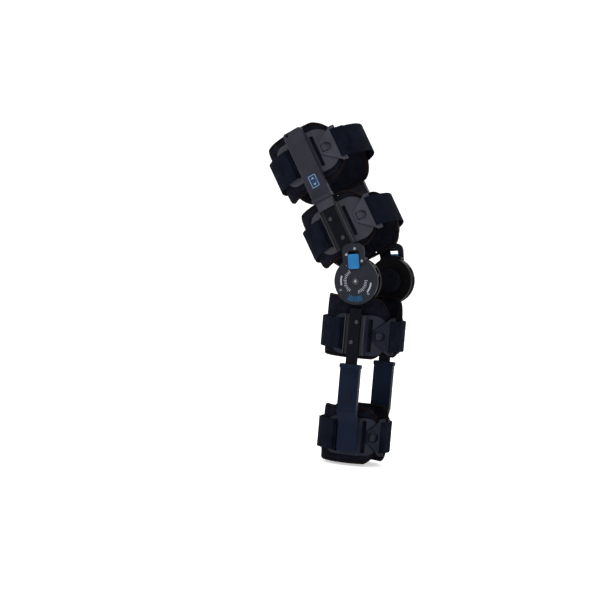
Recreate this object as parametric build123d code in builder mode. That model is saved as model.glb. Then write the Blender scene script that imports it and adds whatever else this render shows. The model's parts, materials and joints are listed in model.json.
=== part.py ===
from build123d import *
import os
from math import asin, cos, degrees, radians, sin

# Post-operative knee brace: two mirror-image uprights, each with a range-of-motion hinge,
# carry four cuffs. The origin is midway between the two hinges, on the knee axis.
# +X is towards the front of the leg, +Y towards the inner (medial) side, +Z up the calf.
# "Out" is a distance from the leg's mid-plane towards the outer (lateral) side, which is -Y.

# ---- driving dimensions, in millimetres and degrees ----
rest_flexion = 32.0          # bend of the knee at rest

plate = 3.0                  # thickness of the hinge plates and bars
bar_width = 20.0
bar_slack = 0.2              # play round a bar inside its sleeve
thigh_bar_x = 9.0            # the thigh bar runs this far in front of the hinge axis
calf_bar_x = 0.0

# hinge stack, from the leg outwards
dial_radius = 38.5
back_cover_out = 65.5
calf_plate_out = 68.0
thigh_plate_out = 71.3
skirt_out = 74.7
flexion_stop_out = 75.0
extension_stop_out = 77.3
stop_thickness = 2.0
dial_face_out = 79.6
dial_top_out = 84.0
skirt_wall = 2.3
rivet_radius = 4.0
bush_radius = 6.0
fit = 0.05                   # radial play of the pivot's turning fits

# stops: finger tabs in a window round the front of the dial's skirt
tab_reach = 39.2
tab_angle = 10.0
flexion_tab_at = 45.0
extension_tab_at = 20.0
window_from = -72.0
window_to = 53.0

# drop lock and neck cover, turned forward of the thigh bar
neck_turn = 23.0
neck_inner = 39.8
neck_wall = 2.2
neck_top = 62.0
neck_foot = 27.5             # the cover laps over the dial's face down to here
neck_width = 39.0
neck_out = 84.9
neck_thickness = 2.2
lip_out = 74.8
screw_head = 2.3
screw_shank = 1.0
screw_head_height = 1.2
lock_width = 18.5
lock_length = 24.0
lock_at = 32.5
lock_out = 85.0
lock_height = 4.6
lock_travel = 4.0
lock_ridge = 0.8
condyle_radius = 23.0
condyle_thickness = 9.0

# bars
thigh_bar_out = 81.8
calf_bar_out = 70.5
thigh_bar_end = 235.0
calf_bar_end = -213.0
thigh_joggle = (43.0, 57.0)
calf_joggle = (-42.0, -47.0)

# sleeves that slide on the bars
thigh_sleeve_z = (145.0, 273.0)
thigh_sleeve_width = 35.0
thigh_sleeve_out = (79.8, 88.8)
thigh_channel_end = 241.0
calf_sleeve_z = (-281.0, -137.0)
calf_sleeve_width = 34.0
calf_sleeve_out = (68.5, 77.5)
calf_sleeve_low_out = (58.2, 65.2)
calf_channel_end = -217.0
calf_bend_end = -237.0
collar_height = 7.0
collar_step = 1.2
rib_count = 3
rib_pitch = 4.0
rib_height = 0.8

# release buttons
button_proud = 0.8
button_height = 2.2
button_play = 0.2
thigh_button = (16.7, 25.0, 179.5)     # width, length, height up the limb
calf_button = (14.0, 18.0, -190.0)
spring_thickness = 0.5

# shells, pads and straps
wall = 3.5
pad_thickness = 8.0
pad_gap = 0.2
boss_width = 36.0
rail = 1.6
rail_height = 2.4
slot_width = 6.5
slot_from_bar = 18.6
strap_width = 50.0
strap_thickness = 2.0
strap_gap = 0.3
strap_end_from_bar = 31.0
rivet_shank = 2.0
rivet_head = 3.4
rivet_head_height = 1.2
rivet_play = 0.05
# rivets through each shell: distance in front of the bar's middle, height up the limb
upper_pins = ((0.0, 246.0), (0.0, 254.0))
thigh_rivets = ((3.3, 74.0), (-3.3, 111.0))
calf_rivets = ((3.3, -67.0), (-3.3, -101.0))
lower_pins = ((0.0, -247.0), (0.0, -270.0))
end_hole = 2.5
end_block_top = 144.6

corner_cross = 0.3           # a lobe's round corner crosses the panel's edge instead of only touching it
spare_angle = 8.0            # panels are made this much too long before their ends are rounded

# buckles
hook_size = (8.0, 11.0)
hook_height = 6.0
buckle_gap = 0.6
buckle_thickness = 2.6
buckle_tip_from_hook = 8.0   # short enough to leave the strap slot open
buckle_width = 62.0
buckle_tip_width = 17.0
buckle_pin = 2.0
buckle_shoulder = 6.0            # full width over this length in front of the pin
buckle_window = (7.0, 51.0)      # the strap passes through it and round the pin
hook_clearance = 2.4
lip_width = 2.8
lip_height = 0.9
past_edge = 10.0                 # cutting shapes run this far past what they cut
strap_to_pin = 3.5

# ---- frames ----
lean = radians(rest_flexion)
thigh = Plane(origin=(0, 0, 0), x_dir=(cos(lean), 0, sin(lean)), z_dir=(-sin(lean), 0, cos(lean)))
calf = Plane.XY


class Level:
    """One cuff: where its shell, pad, strap and buckle lie on the limb."""

    def __init__(self, name, limb, bar_x, centre_x, inset, radius, boss_out, shell, pad, rear, front,
                 pad_rear, pad_front, shell_corner, pad_corner, hook, edge):
        self.name = name
        self.limb = limb
        self.bar_x = bar_x
        self.centre_x = centre_x
        self.inset = inset              # how far the shell's circle is shifted towards the mid-plane
        self.radius = radius            # outer radius of the shell
        self.boss_out = boss_out        # where the bar or the sleeve lies on the shell
        self.shell = shell              # lowest and highest edge, up the limb
        self.pad = pad
        self.rear = rear                # reach of the shell behind the bar, round the limb
        self.front = front
        self.pad_rear = pad_rear        # reach of the pad, in degrees from straight out
        self.pad_front = pad_front
        self.shell_corner = shell_corner
        self.pad_corner = pad_corner
        self.hook = hook                # distance round from the bar to the middle of the hook
        self.edge = edge                # and to the buckle's wide edge
        self.middle = (shell[0] + shell[1]) / 2

    def angle(self, from_bar):
        """Angle round the limb, from straight out towards the front, at a distance round from the bar."""
        start = asin((self.bar_x - self.centre_x) / self.radius)
        return degrees(start + from_bar / self.radius)


levels = [
    Level("upper_thigh", thigh, thigh_bar_x, 5.0, 3.0, 82.5, thigh_sleeve_out[0], (188.0, 260.0),
          (172.0, 275.0), 60.0, 60.0, -80.0, 52.0, (28.0, 34.0), (46.0, 50.0), 35.0, 64.0),
    Level("lower_thigh", thigh, thigh_bar_x, 5.0, 0.0, 78.5, thigh_bar_out, (59.0, 133.0),
          (48.5, 149.0), 55.0, 64.0, -78.0, 55.0, (32.0, 33.0), (46.0, 50.0), 40.0, 68.0),
    Level("upper_calf", calf, calf_bar_x, -12.0, 0.0, 66.5, calf_bar_out, (-122.0, -55.0),
          (-128.0, -26.0), 50.0, 58.0, -80.0, 66.0, (29.0, 30.0), (24.0, 42.0), 36.0, 66.0),
    Level("lower_calf", calf, calf_bar_x, -12.0, 0.0, 58.0, calf_sleeve_low_out[0], (-288.0, -226.0),
          (-303.0, -209.0), 50.0, 56.0, -82.0, 72.0, (26.0, 28.0), (34.0, 40.0), 37.0, 62.0),
]


def facing_out(limb, out):
    """Plane parallel to the mid-plane, seen from outside: x forward, y up the limb, normal outwards."""
    return Plane(origin=(0, -out, 0), x_dir=limb.x_dir, z_dir=(0, -1, 0))


def edge_on(limb, x):
    """Plane across the front-to-back direction: x outwards, y up the limb."""
    return Plane(origin=limb.x_dir * x, x_dir=(0, -1, 0), z_dir=-limb.x_dir)


def tangent(level, angle, radius):
    """Plane touching the limb's circle of this radius, x forward round the limb, y up, normal outwards."""
    turn = radians(angle)
    centre = level.limb.from_local_coords(Vector(level.centre_x, level.inset, level.middle))
    out = level.limb.x_dir * sin(turn) + Vector(0, -1, 0) * cos(turn)
    along = level.limb.x_dir * cos(turn) + Vector(0, 1, 0) * sin(turn)
    return Plane(origin=centre + out * radius, x_dir=along, z_dir=out)


def sector_points(radius, start, end):
    """Corners of a wedge that covers the angles from start to end, measured as Level.angle."""
    reach = 1.6 * radius
    steps = 4
    turns = [radians(start + (end - start) * n / steps) for n in range(steps + 1)]
    return [(0, 0)] + [(reach * sin(turn), -reach * cos(turn)) for turn in turns]


def band(level, outer, thickness, start, end, low, high, inset):
    """Curved panel round the limb, between two angles and two heights."""
    with BuildPart() as panel:
        with BuildSketch(level.limb.offset(low)):
            with Locations((level.centre_x, inset)):
                Circle(outer)
                Circle(outer - thickness, mode=Mode.SUBTRACT)
                Polygon(*sector_points(outer, start, end), align=None, mode=Mode.INTERSECT)
        extrude(amount=high - low)
    return panel.part


def rounded_end(panel, level, outer, angle, side, low, high, radius):
    """Cut one end of a curved panel to its reach and round its corners: side 1 is front, -1 is rear."""
    reach = degrees(radius / outer)
    face = tangent(level, angle - side * reach, outer)
    edge = outer * sin(radians(reach))
    height = high - low
    middle = (low + high) / 2 - level.middle
    with BuildPart() as rounded:
        add(panel)
        with BuildSketch(face):
            with Locations((side * (edge + outer) / 2, middle)):
                Rectangle(edge + outer, height + 2)
            with Locations((side * (edge - 2 * radius), middle)):
                RectangleRounded(4 * radius, height + 2 * corner_cross, radius, mode=Mode.SUBTRACT)
        extrude(amount=outer / 2, both=True, mode=Mode.SUBTRACT)
    return rounded.part


def lobed_band(level, outer, thickness, start, end, low, high, corners):
    """Curved panel whose rear and front ends are rounded, with a corner radius for each."""
    plain = band(level, outer, thickness, start - spare_angle, end + spare_angle, low, high, level.inset)
    rear = rounded_end(plain, level, outer, start, -1, low, high, corners[0])
    return rounded_end(rear, level, outer, end, 1, low, high, corners[1])


def keep(part, name):
    part.label = name
    export_step(part, f"parts/{name}.step")


def keep_both(part, name):
    """Keep the lateral piece and its mirror image on the medial side."""
    keep(part, f"lateral_{name}")
    with BuildPart() as medial:
        mirror(part, about=Plane.XZ)
    keep(medial.part, f"medial_{name}")


def keep_group(part, name):
    """Keep the pieces of both sides as one group of separate solids."""
    with BuildPart() as group:
        add(part)
        mirror(part, about=Plane.XZ)
    keep(group.part, name)


# ---- hinge ----
def bar_profile(plate_out, bar_out, joggle, end, root):
    """Edge-on outline of an arm: hinge plate, joggle and straight bar."""
    slant = plate * 0.4 * (1 if end > 0 else -1)
    return [
        (plate_out, root), (plate_out, joggle[0]), (bar_out, joggle[1]), (bar_out, end),
        (bar_out + plate, end), (bar_out + plate, joggle[1] - slant),
        (plate_out + plate, joggle[0] - slant), (plate_out + plate, root),
    ]


def hinge_arm(limb, bar_x, plate_out, bar_out, joggle, end, rivets, pivot_hole):
    disc_radius = dial_radius - skirt_wall - 1.0
    root = 20.0 if end > 0 else -20.0
    with BuildPart() as arm:
        with BuildSketch(facing_out(limb, plate_out)):
            Circle(disc_radius)
        extrude(amount=plate)
        with BuildSketch(edge_on(limb, bar_x)):
            Polygon(*bar_profile(plate_out, bar_out, joggle, end, root), align=None)
        extrude(amount=bar_width / 2, both=True)
        with BuildSketch(facing_out(limb, plate_out)):
            Circle(pivot_hole)
        extrude(amount=plate, mode=Mode.SUBTRACT)
        with BuildSketch(facing_out(limb, bar_out)):
            with Locations(*[(bar_x + shift, height) for shift, height in rivets]):
                Circle(rivet_shank + rivet_play)
        extrude(amount=plate, mode=Mode.SUBTRACT)
    return arm.part


def dial_cover():
    """Cup with a flat face: a window in its skirt lets the stops' tabs out."""
    with BuildPart() as cover:
        with BuildSketch(facing_out(calf, skirt_out)):
            Circle(dial_radius)
        extrude(amount=dial_top_out - skirt_out)
        fillet(cover.edges().filter_by(GeomType.CIRCLE).group_by(Axis.Y)[0], radius=1.4)
        with BuildSketch(facing_out(calf, skirt_out)):
            Circle(dial_radius - skirt_wall)
        extrude(amount=dial_face_out - skirt_out, mode=Mode.SUBTRACT)
        with BuildSketch(facing_out(calf, skirt_out)):
            Circle(dial_radius + 1)
            Circle(dial_radius - skirt_wall - 1, mode=Mode.SUBTRACT)
            Polygon(*window_points(), align=None, mode=Mode.INTERSECT)
        extrude(amount=dial_face_out - skirt_out, mode=Mode.SUBTRACT)
        with BuildSketch(facing_out(calf, dial_face_out)):
            Circle(rivet_radius)
        extrude(amount=dial_top_out - dial_face_out, mode=Mode.SUBTRACT)
    return cover.part


def window_points():
    """Wedge from the pivot that covers the skirt's window."""
    reach = 2 * dial_radius
    steps = 3
    turns = [radians(window_from + (window_to - window_from) * n / steps) for n in range(steps + 1)]
    return [(0, 0)] + [(reach * cos(turn), reach * sin(turn)) for turn in turns]


def back_cover():
    """Shallow cup behind the calf plate, open where the calf arm leaves it."""
    with BuildPart() as cover:
        with BuildSketch(facing_out(calf, back_cover_out)):
            Circle(dial_radius)
        extrude(amount=calf_plate_out + plate - back_cover_out)
        with BuildSketch(facing_out(calf, calf_plate_out)):
            Circle(dial_radius - skirt_wall - 0.5)
        extrude(amount=plate, mode=Mode.SUBTRACT)
        with BuildSketch(facing_out(calf, calf_plate_out)):
            with Locations((0, -dial_radius)):
                Rectangle(bar_width + 1, dial_radius)
        extrude(amount=plate, mode=Mode.SUBTRACT)
        with BuildSketch(facing_out(calf, back_cover_out)):
            Circle(rivet_radius)
        extrude(amount=plate, mode=Mode.SUBTRACT)
    return cover.part


def pivot_rivet():
    """Stepped rivet through the whole stack, domed on the outside."""
    with BuildPart() as rivet:
        with BuildSketch(facing_out(calf, back_cover_out)):
            Circle(rivet_radius)
        extrude(amount=dial_top_out - back_cover_out)
        with BuildSketch(facing_out(calf, dial_top_out)):
            Circle(rivet_radius + 2)
        extrude(amount=1.6)
        fillet(rivet.edges().filter_by(GeomType.CIRCLE).group_by(Axis.Y)[0], radius=1.2)
    return rivet.part


def pivot_bush():
    """Plain bush on which the thigh plate and the stops turn."""
    with BuildPart() as bush:
        with BuildSketch(facing_out(calf, calf_plate_out + plate)):
            Circle(bush_radius)
            Circle(rivet_radius, mode=Mode.SUBTRACT)
        extrude(amount=dial_face_out - calf_plate_out - plate)
    return bush.part


def stop_lever(out, tab_at):
    """Ring on the bush with one arm that ends in a finger tab outside the skirt."""
    half = tab_angle / 2
    reach = 1.5 * tab_reach
    wedge = [(0, 0)]
    wedge += [(reach * cos(radians(tab_at + turn)), reach * sin(radians(tab_at + turn)))
              for turn in (-half, half)]
    with BuildPart() as lever:
        with BuildSketch(facing_out(calf, out)):
            Circle(tab_reach)
            Polygon(*wedge, align=None, mode=Mode.INTERSECT)
            Circle(bush_radius + 5)
            Circle(bush_radius + fit, mode=Mode.SUBTRACT)
        extrude(amount=stop_thickness)
    return lever.part


def neck_plane(out):
    """Plane facing out whose y runs up the middle of the drop lock."""
    turn = radians(rest_flexion - neck_turn)
    return Plane(origin=(0, -out, 0), x_dir=(cos(turn), 0, sin(turn)), z_dir=(0, -1, 0))


neck_screws = [(3.0, 53.5), (-12.2, 44.5), (14.5, 32.5)]


def neck_cover():
    """Plate over the joggle and the dial's rim, with a lip round the dial and a track for the drop lock."""
    track_top = lock_at + lock_length / 2 + lock_travel + 1.0
    with BuildPart() as cover:
        with BuildSketch(neck_plane(neck_out)) as face:
            with Locations((0, neck_top)):
                Rectangle(neck_width, neck_top - neck_foot, align=(Align.CENTER, Align.MAX))
            fillet(face.vertices().group_by(Axis.Y)[-1], radius=12)
            fillet(face.vertices().group_by(Axis.Y)[0], radius=4)
            with Locations((0, track_top)):
                Rectangle(lock_width + 0.8, track_top, align=(Align.CENTER, Align.MAX), mode=Mode.SUBTRACT)
            with Locations(*neck_screws):
                Circle(screw_shank + rivet_play, mode=Mode.SUBTRACT)
        extrude(amount=neck_thickness)
        with BuildSketch(neck_plane(lip_out)):
            Circle(neck_inner + neck_wall)
            Circle(neck_inner, mode=Mode.SUBTRACT)
            with Locations((0, neck_inner)):
                Rectangle(neck_width, neck_inner, mode=Mode.INTERSECT)
        extrude(amount=neck_out - lip_out)
    return cover.part


def neck_screw_group():
    """Three small pan-head screws."""
    with BuildPart() as screws:
        with BuildSketch(neck_plane(neck_out + neck_thickness)):
            with Locations(*neck_screws):
                Circle(screw_head)
        extrude(amount=screw_head_height)
        fillet(screws.edges().filter_by(GeomType.CIRCLE).group_by(Axis.Y)[0], radius=0.6)
        with BuildSketch(neck_plane(neck_out + 0.2)):
            with Locations(*neck_screws):
                Circle(screw_shank)
        extrude(amount=neck_thickness - 0.2)
    return screws.part


def drop_lock():
    """Slider with four grip ridges across it."""
    with BuildPart() as slider:
        with BuildSketch(neck_plane(lock_out)):
            with Locations((0, lock_at)):
                RectangleRounded(lock_width, lock_length, 3.0)
        extrude(amount=lock_height - lock_ridge)
        with BuildSketch(neck_plane(lock_out + lock_height - lock_ridge)):
            with Locations((0, lock_at)):
                with GridLocations(0, lock_length / 5, 1, 4):
                    Rectangle(lock_width - 5, 2.2)
        extrude(amount=lock_ridge)
    return slider.part


def condyle_pad():
    """Round cushion between the hinge and the side of the knee."""
    with BuildPart() as cushion:
        with BuildSketch(facing_out(calf, back_cover_out - pad_gap)):
            Circle(condyle_radius)
        extrude(amount=-condyle_thickness)
        fillet(cushion.edges().filter_by(GeomType.CIRCLE).group_by(Axis.Y)[-1], radius=3.5)
    return cushion.part


# ---- sleeves and their buttons ----
def sleeve_ribs(limb, bar_x, width, base, top, mouth, direction):
    """Collar and grip ribs at the open end of a sleeve, as boxes wider than the sleeve."""
    thickness = top - base
    for index in range(rib_count):
        height = mouth + direction * (collar_height + rib_pitch * (index + 0.6))
        with BuildSketch(facing_out(limb, top)) as rib:
            with Locations((bar_x, height)):
                Rectangle(width - 3, rib_pitch / 2)
        extrude(rib.sketch, amount=rib_height)
    with BuildSketch(facing_out(limb, base)) as collar:
        with Locations((bar_x, mouth + direction * collar_height / 2)):
            RectangleRounded(width + 2 * collar_step, collar_height, 1.5)
    extrude(collar.sketch, amount=thickness + collar_step)


def button_window(limb, bar_x, size, bar_out, top):
    """Opening over the bar for the release button."""
    width, length, height = size
    with BuildSketch(facing_out(limb, bar_out)) as window:
        with Locations((bar_x, height)):
            Rectangle(width, length)
    extrude(window.sketch, amount=top + collar_step - bar_out, mode=Mode.SUBTRACT)


def bar_channel(limb, bar_x, bar_out, mouth, end):
    """Slot in which the bar slides, closed at one end."""
    middle = (mouth + end) / 2
    with BuildSketch(facing_out(limb, bar_out - bar_slack)) as channel:
        with Locations((bar_x, middle)):
            Rectangle(bar_width + 2 * bar_slack, abs(end - mouth))
    extrude(channel.sketch, amount=plate + 2 * bar_slack, mode=Mode.SUBTRACT)


def thigh_sleeve(pins):
    low, high = thigh_sleeve_z
    base, top = thigh_sleeve_out
    with BuildPart() as sleeve:
        with BuildSketch(facing_out(thigh, base)) as outline:
            with Locations((thigh_bar_x, (low + high) / 2)):
                Rectangle(thigh_sleeve_width, high - low)
            fillet(outline.vertices().group_by(Axis.Y)[-1], radius=5)
        extrude(amount=top - base)
        chamfer(sleeve.faces().sort_by(Axis.Y)[0].edges().filter_by(GeomType.LINE).sort_by(
            SortBy.LENGTH)[-2:], length=1.2)
        sleeve_ribs(thigh, thigh_bar_x, thigh_sleeve_width, base, top, low, 1)
        bar_channel(thigh, thigh_bar_x, thigh_bar_out, low, thigh_channel_end)
        button_window(thigh, thigh_bar_x, thigh_button, thigh_bar_out + plate + bar_slack, top)
        with BuildSketch(facing_out(thigh, base)):
            with Locations(*[(thigh_bar_x + shift, height) for shift, height in pins]):
                Circle(rivet_shank + rivet_play)
        extrude(amount=top - base - 2, mode=Mode.SUBTRACT)
        with BuildSketch(facing_out(thigh, base)):
            with Locations((thigh_bar_x - 10, high - 5)):
                Circle(end_hole)
        extrude(amount=top - base, mode=Mode.SUBTRACT)
    return sleeve.part


def calf_sleeve(pins):
    low, high = calf_sleeve_z
    base, top = calf_sleeve_out
    low_base, low_top = calf_sleeve_low_out
    outline = [
        (base, high), (top, high), (top, calf_channel_end), (low_top, calf_bend_end), (low_top, low),
        (low_base, low), (low_base, calf_bend_end - 3), (base, calf_channel_end - 3),
    ]
    with BuildPart() as sleeve:
        with BuildSketch(edge_on(calf, calf_bar_x)):
            Polygon(*outline, align=None)
        extrude(amount=calf_sleeve_width / 2, both=True)
        fillet(sleeve.edges().filter_by(Axis.Y).group_by(Axis.Z)[0], radius=5)
        sleeve_ribs(calf, calf_bar_x, calf_sleeve_width, base, top, high, -1)
        bar_channel(calf, calf_bar_x, calf_bar_out, high, calf_channel_end)
        button_window(calf, calf_bar_x, calf_button, calf_bar_out + plate + bar_slack, top)
        with BuildSketch(facing_out(calf, low_base)):
            with Locations(*[(calf_bar_x + shift, height) for shift, height in pins]):
                Circle(rivet_shank + rivet_play)
        extrude(amount=low_top - low_base - 2, mode=Mode.SUBTRACT)
    return sleeve.part


def release_button(limb, bar_x, size, top):
    width, length, height = size
    with BuildPart() as button:
        with BuildSketch(facing_out(limb, top + button_proud - button_height)):
            with Locations((bar_x, height)):
                Rectangle(width - 2 * button_play, length - 2 * button_play)
        extrude(amount=button_height)
        fillet(button.faces().sort_by(Axis.Y)[0].edges(), radius=0.6)
    return button.part


def leaf_spring(limb, bar_x, size, bar_out):
    """Flat leaf under a release button."""
    width, length, height = size
    with BuildPart() as leaf:
        with BuildSketch(facing_out(limb, bar_out + plate + 1.5 * bar_slack)):
            with Locations((bar_x, height)):
                Rectangle(width, length)
        extrude(amount=spring_thickness)
    return leaf.part


# ---- cuffs ----
def slot_centres(level, height):
    """The two strap slots, in front of the bar and behind it."""
    shift = slot_from_bar + slot_width / 2
    return [(level.bar_x - shift, height), (level.bar_x + shift, height)]


def shell(level, pins, rails, hook, end_block):
    low, high = level.shell
    start, end = level.angle(-level.rear), level.angle(level.front)
    lobed = lobed_band(level, level.radius, wall, start, end, low, high, level.shell_corner)
    with BuildPart() as body:
        add(lobed)
        with BuildSketch(level.limb.offset(low)):
            with Locations((level.bar_x, -level.boss_out)):
                Rectangle(boss_width, level.boss_out, align=(Align.CENTER, Align.MIN))
            with Locations((level.centre_x, level.inset)):
                Circle(level.radius - wall, mode=Mode.SUBTRACT)
            with Locations((level.bar_x, 0)):
                Rectangle(boss_width + 1, level.radius, mode=Mode.SUBTRACT)
        extrude(amount=high - low)
        if rails:
            with BuildSketch(facing_out(level.limb, level.boss_out)):
                with Locations((level.bar_x, level.middle)):
                    with GridLocations(boss_width - rail, 0, 2, 1):
                        Rectangle(rail, high - low)
            extrude(amount=rail_height)
        if end_block:
            block_low = high - 4
            with BuildSketch(facing_out(level.limb, level.radius - 1)):
                with Locations((level.bar_x, (block_low + end_block) / 2)):
                    Rectangle(bar_width + 10, end_block - block_low)
            extrude(amount=level.boss_out + plate + 2.5 - level.radius + 1)
            with BuildSketch(facing_out(level.limb, level.boss_out)):
                with Locations((level.bar_x, (block_low + end_block) / 2)):
                    Rectangle(bar_width + 2 * bar_slack, end_block - block_low)
            extrude(amount=plate + bar_slack, mode=Mode.SUBTRACT)
        with BuildSketch(facing_out(level.limb, level.radius / 2)):
            with Locations(*slot_centres(level, level.middle)):
                RectangleRounded(slot_width, strap_width + 4, 2.0)
        extrude(amount=level.radius, mode=Mode.SUBTRACT)
        with BuildSketch(facing_out(level.limb, level.radius / 2)):
            with Locations(*[(level.bar_x + shift, height) for shift, height in pins]):
                Circle(rivet_shank + rivet_play)
        extrude(amount=level.radius, mode=Mode.SUBTRACT)
        if hook:
            with BuildSketch(tangent(level, level.angle(level.hook), level.radius - 1)):
                RectangleRounded(*hook_size, 1.5)
            extrude(amount=hook_height + 1)
    return body.part


def pad(level):
    low, high = level.pad
    outer = level.radius - wall - pad_gap
    return lobed_band(level, outer, pad_thickness, level.pad_rear, level.pad_front, low, high,
                      level.pad_corner)


def strap(level):
    """Front strap from the buckle to the medial slot, and rear strap from slot to slot."""
    low = level.middle - strap_width / 2
    high = level.middle + strap_width / 2
    outer = level.radius + strap_gap + strap_thickness
    front_start = level.angle(level.edge + buckle_pin + strap_to_pin)
    front_end = 180 - level.angle(strap_end_from_bar)
    rear_start = level.angle(-strap_end_from_bar)
    with BuildPart() as both:
        add(band(level, outer, strap_thickness, front_start, front_end, low, high, 0))
        add(band(level, outer, strap_thickness, -180 - rear_start, rear_start, low, high, 0))
    return both.part


def buckle(level):
    """Triangular plate over the hook, with a round bar along its wide edge."""
    inner = level.radius + buckle_gap
    start = level.angle(level.hook - buckle_tip_from_hook)
    end = level.angle(level.edge)
    low = level.middle - buckle_width / 2
    curved = band(level, inner + buckle_thickness, buckle_thickness, start, end, low,
                  low + buckle_width, level.inset)
    face = tangent(level, level.angle(level.hook), level.radius)
    pin = tangent(level, end, inner + buckle_thickness / 2)
    shoulder = level.edge - level.hook - buckle_shoulder
    far = level.edge - level.hook + past_edge
    eye = (hook_size[0] + hook_clearance, hook_size[1] + hook_clearance, hook_size[1] / 2 + hook_clearance)
    with BuildPart() as lip:
        add(band(level, inner + buckle_thickness + lip_height, buckle_thickness + lip_height, start, end,
                 low, low + buckle_width, level.inset))
        with BuildSketch(face):
            Rectangle(eye[0] + lip_width, eye[1] + lip_width)
            with Locations((eye[0] / 2, 0)):
                Circle(eye[2] + lip_width)
        extrude(amount=2 * buckle_width, both=True, mode=Mode.INTERSECT)
    with BuildPart() as plate_and_pin:
        add(curved)
        with BuildSketch(face):
            Polygon(
                (-buckle_tip_from_hook, -buckle_tip_width / 2),
                (shoulder, -buckle_width / 2), (far, -buckle_width / 2),
                (far, buckle_width / 2), (shoulder, buckle_width / 2),
                (-buckle_tip_from_hook, buckle_tip_width / 2), align=None)
        extrude(amount=2 * buckle_width, both=True, mode=Mode.INTERSECT)
        add(lip.part)
        with BuildSketch(face):
            Rectangle(eye[0], eye[1])
            with Locations((eye[0] / 2, 0)):
                Circle(eye[2])
        extrude(amount=buckle_width / 2, both=True, mode=Mode.SUBTRACT)
        with BuildSketch(pin):
            with Locations((-buckle_pin - buckle_window[0] / 2, 0)):
                Rectangle(*buckle_window)
        extrude(amount=2 * buckle_thickness, both=True, mode=Mode.SUBTRACT)
        with BuildSketch(Plane(origin=pin.origin, x_dir=pin.x_dir, z_dir=level.limb.z_dir)):
            Circle(buckle_pin)
        extrude(amount=buckle_width / 2, both=True)
    return plate_and_pin.part


def bar_rivets(level, face_out, pins, head):
    """Rivets that fix a shell to its bar (with heads) or to its sleeve (headless)."""
    back = level.radius - wall + pad_gap
    places = [(level.bar_x + shift, height) for shift, height in pins]
    with BuildPart() as rivets:
        with BuildSketch(facing_out(level.limb, back)):
            with Locations(*places):
                Circle(rivet_shank)
        extrude(amount=face_out - back)
        if head:
            with BuildSketch(facing_out(level.limb, face_out)):
                with Locations(*places):
                    Circle(rivet_head)
            extrude(amount=rivet_head_height)
            fillet(rivets.edges().filter_by(GeomType.CIRCLE).group_by(Axis.Y)[0], radius=0.7)
    return rivets.part


os.makedirs("parts", exist_ok=True)

# hinges
keep_both(hinge_arm(thigh, thigh_bar_x, thigh_plate_out, thigh_bar_out, thigh_joggle, thigh_bar_end,
                    thigh_rivets, bush_radius + fit), "thigh_arm")
keep_both(hinge_arm(calf, calf_bar_x, calf_plate_out, calf_bar_out, calf_joggle, calf_bar_end,
                    calf_rivets, rivet_radius), "calf_arm")
keep_both(dial_cover(), "dial_cover")
keep_both(back_cover(), "back_cover")
keep_both(pivot_rivet(), "pivot_rivet")
keep_both(stop_lever(flexion_stop_out, flexion_tab_at), "flexion_stop")
keep_both(stop_lever(extension_stop_out, extension_tab_at), "extension_stop")
keep_both(neck_cover(), "neck_cover")
keep_both(drop_lock(), "drop_lock")
keep_both(condyle_pad(), "condyle_pad")
keep_group(pivot_bush(), "pivot_bushes")
keep_group(neck_screw_group(), "neck_screws")

# sleeves
keep_both(thigh_sleeve(upper_pins), "thigh_sleeve")
keep_both(calf_sleeve(lower_pins), "calf_sleeve")
keep_both(release_button(thigh, thigh_bar_x, thigh_button, thigh_sleeve_out[1]), "thigh_button")
keep_both(release_button(calf, calf_bar_x, calf_button, calf_sleeve_out[1]), "calf_button")
keep_group(leaf_spring(thigh, thigh_bar_x, thigh_button, thigh_bar_out), "thigh_button_springs")
keep_group(leaf_spring(calf, calf_bar_x, calf_button, calf_bar_out), "calf_button_springs")

# cuffs
pins_by_level = [upper_pins, thigh_rivets, calf_rivets, lower_pins]
faces_by_level = [thigh_sleeve_out[1] - 2, thigh_bar_out + plate, calf_bar_out + plate,
                  calf_sleeve_low_out[1] - 2]
for level, pins, face_out in zip(levels, pins_by_level, faces_by_level):
    on_bar = pins in (thigh_rivets, calf_rivets)
    end_block = end_block_top if level.name == "lower_thigh" else None
    keep(shell(level, pins, on_bar, True, end_block), f"lateral_{level.name}_shell")
    with BuildPart() as medial_shell:
        mirror(shell(level, pins, on_bar, False, end_block), about=Plane.XZ)
    keep(medial_shell.part, f"medial_{level.name}_shell")
    keep_both(pad(level), f"{level.name}_pad")
    keep(strap(level), f"{level.name}_strap")
    keep(buckle(level), f"{level.name}_buckle")
    keep_group(bar_rivets(level, face_out, pins, on_bar), f"{level.name}_rivets")
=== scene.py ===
import json
from math import asin, ceil, cos, degrees, pi, radians, sin, sqrt

import bmesh
import bpy
import numpy as np
from mathutils import Matrix, Vector, noise


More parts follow.
